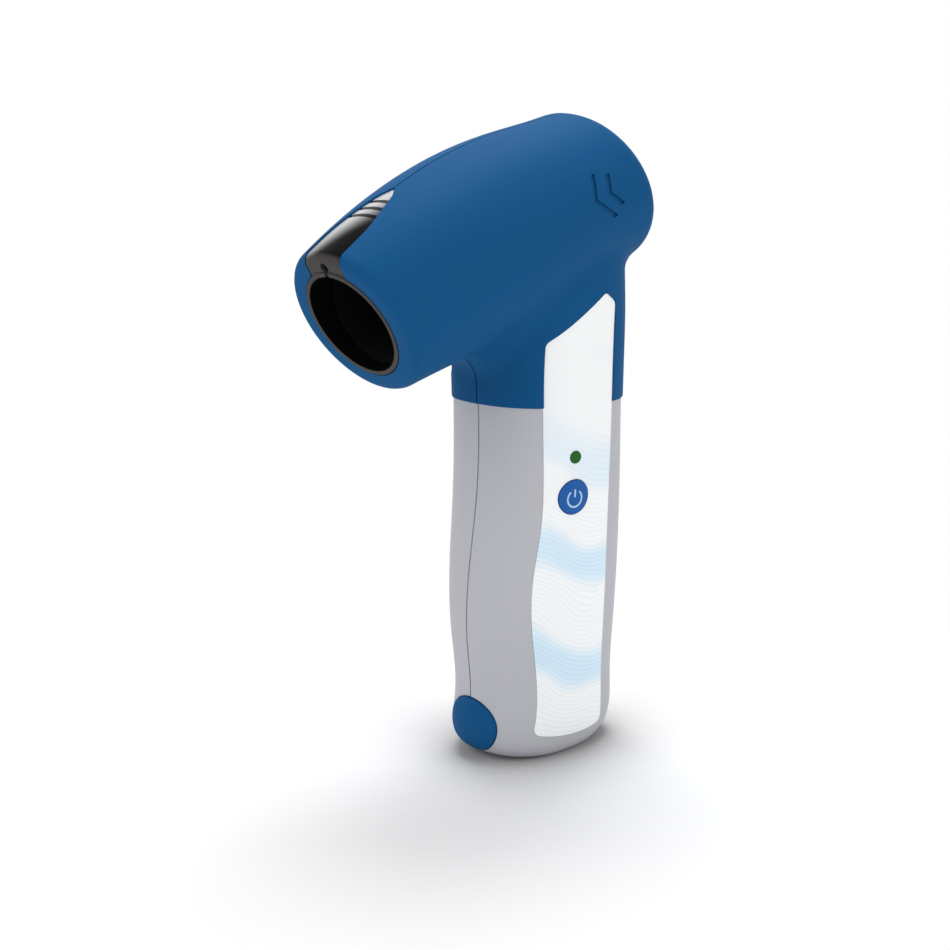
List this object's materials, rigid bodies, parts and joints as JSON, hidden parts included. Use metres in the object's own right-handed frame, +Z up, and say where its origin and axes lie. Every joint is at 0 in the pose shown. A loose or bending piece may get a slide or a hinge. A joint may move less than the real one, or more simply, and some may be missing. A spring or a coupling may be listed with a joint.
{
  "type": "handheld spirometer",
  "caption": "Handheld spirometer: upright handle with a barrel head, a pull-out flow cartridge, a keypad label with one button, and a covered charging socket.",
  "frame": {"origin": "middle of the flat foot under the handle", "axes": "+Z up along the handle, the mouth faces -Y, the keypad label and button face +X"},
  "size_m": [0.058, 0.115, 0.1956],
  "materials": {
    "head_plastic": "fine satin",
    "handle_plastic": "satin",
    "label_film": "printed film",
    "button_plastic": "gloss",
    "lamp_plastic": "clear gloss",
    "cover_rubber": "satin",
    "ring_plastic": "gloss black",
    "tube_plastic": "satin black",
    "core_plastic": "matte",
    "inner_plastic": "matte",
    "seal_rubber": "matte",
    "sensor_case": "matte",
    "board": "solder mask",
    "switch_metal": "bright",
    "battery_sleeve": "wrapped",
    "screw_steel": "zinc"
  },
  "bodies": {
    "body": {"head_shell_left": "head_plastic", "head_shell_right": "head_plastic", "handle_shell_left": "handle_plastic", "handle_shell_right": "handle_plastic", "keypad_label": "label_film", "status_lamp": "lamp_plastic", "cartridge_sleeve": "inner_plastic", "outlet_ring": "tube_plastic", "tap_seal_front": "seal_rubber", "tap_seal_rear": "seal_rubber", "tap_manifold": "inner_plastic", "pressure_sensor": "sensor_case", "main_board": "board", "power_switch": "switch_metal", "radio_module": "switch_metal", "battery": "battery_sleeve", "battery_holder": "inner_plastic", "charge_socket": "switch_metal", "charge_board": "board", "shell_screw_1": "screw_steel", "shell_screw_2": "screw_steel", "shell_screw_3": "screw_steel", "shell_screw_4": "screw_steel", "shell_screw_5": "screw_steel"},
    "cartridge": {"flow_tube": "tube_plastic", "ring_and_tongue": "ring_plastic", "capillary_core": "core_plastic", "core_ring_front": "core_plastic", "core_ring_rear": "core_plastic"},
    "power_button": {"power_button": "button_plastic"},
    "port_cover": {"port_cover": "cover_rubber"}
  },
  "joints": [
    {"name": "cartridge_slide", "type": "slide", "parent": "body", "child": "cartridge", "axis": [0, -0.9336, -0.3584], "range_m": [0, 0.1]},
    {"name": "power_button_press", "type": "slide", "parent": "body", "child": "power_button", "axis": [-1, 0, 0], "range_m": [0, 0.0006], "stiffness_N_per_m": 2500},
    {"name": "port_cover_pull", "type": "slide", "parent": "body", "child": "port_cover", "axis": [0, -1, 0], "range_m": [0, 0.012]}
  ]
}
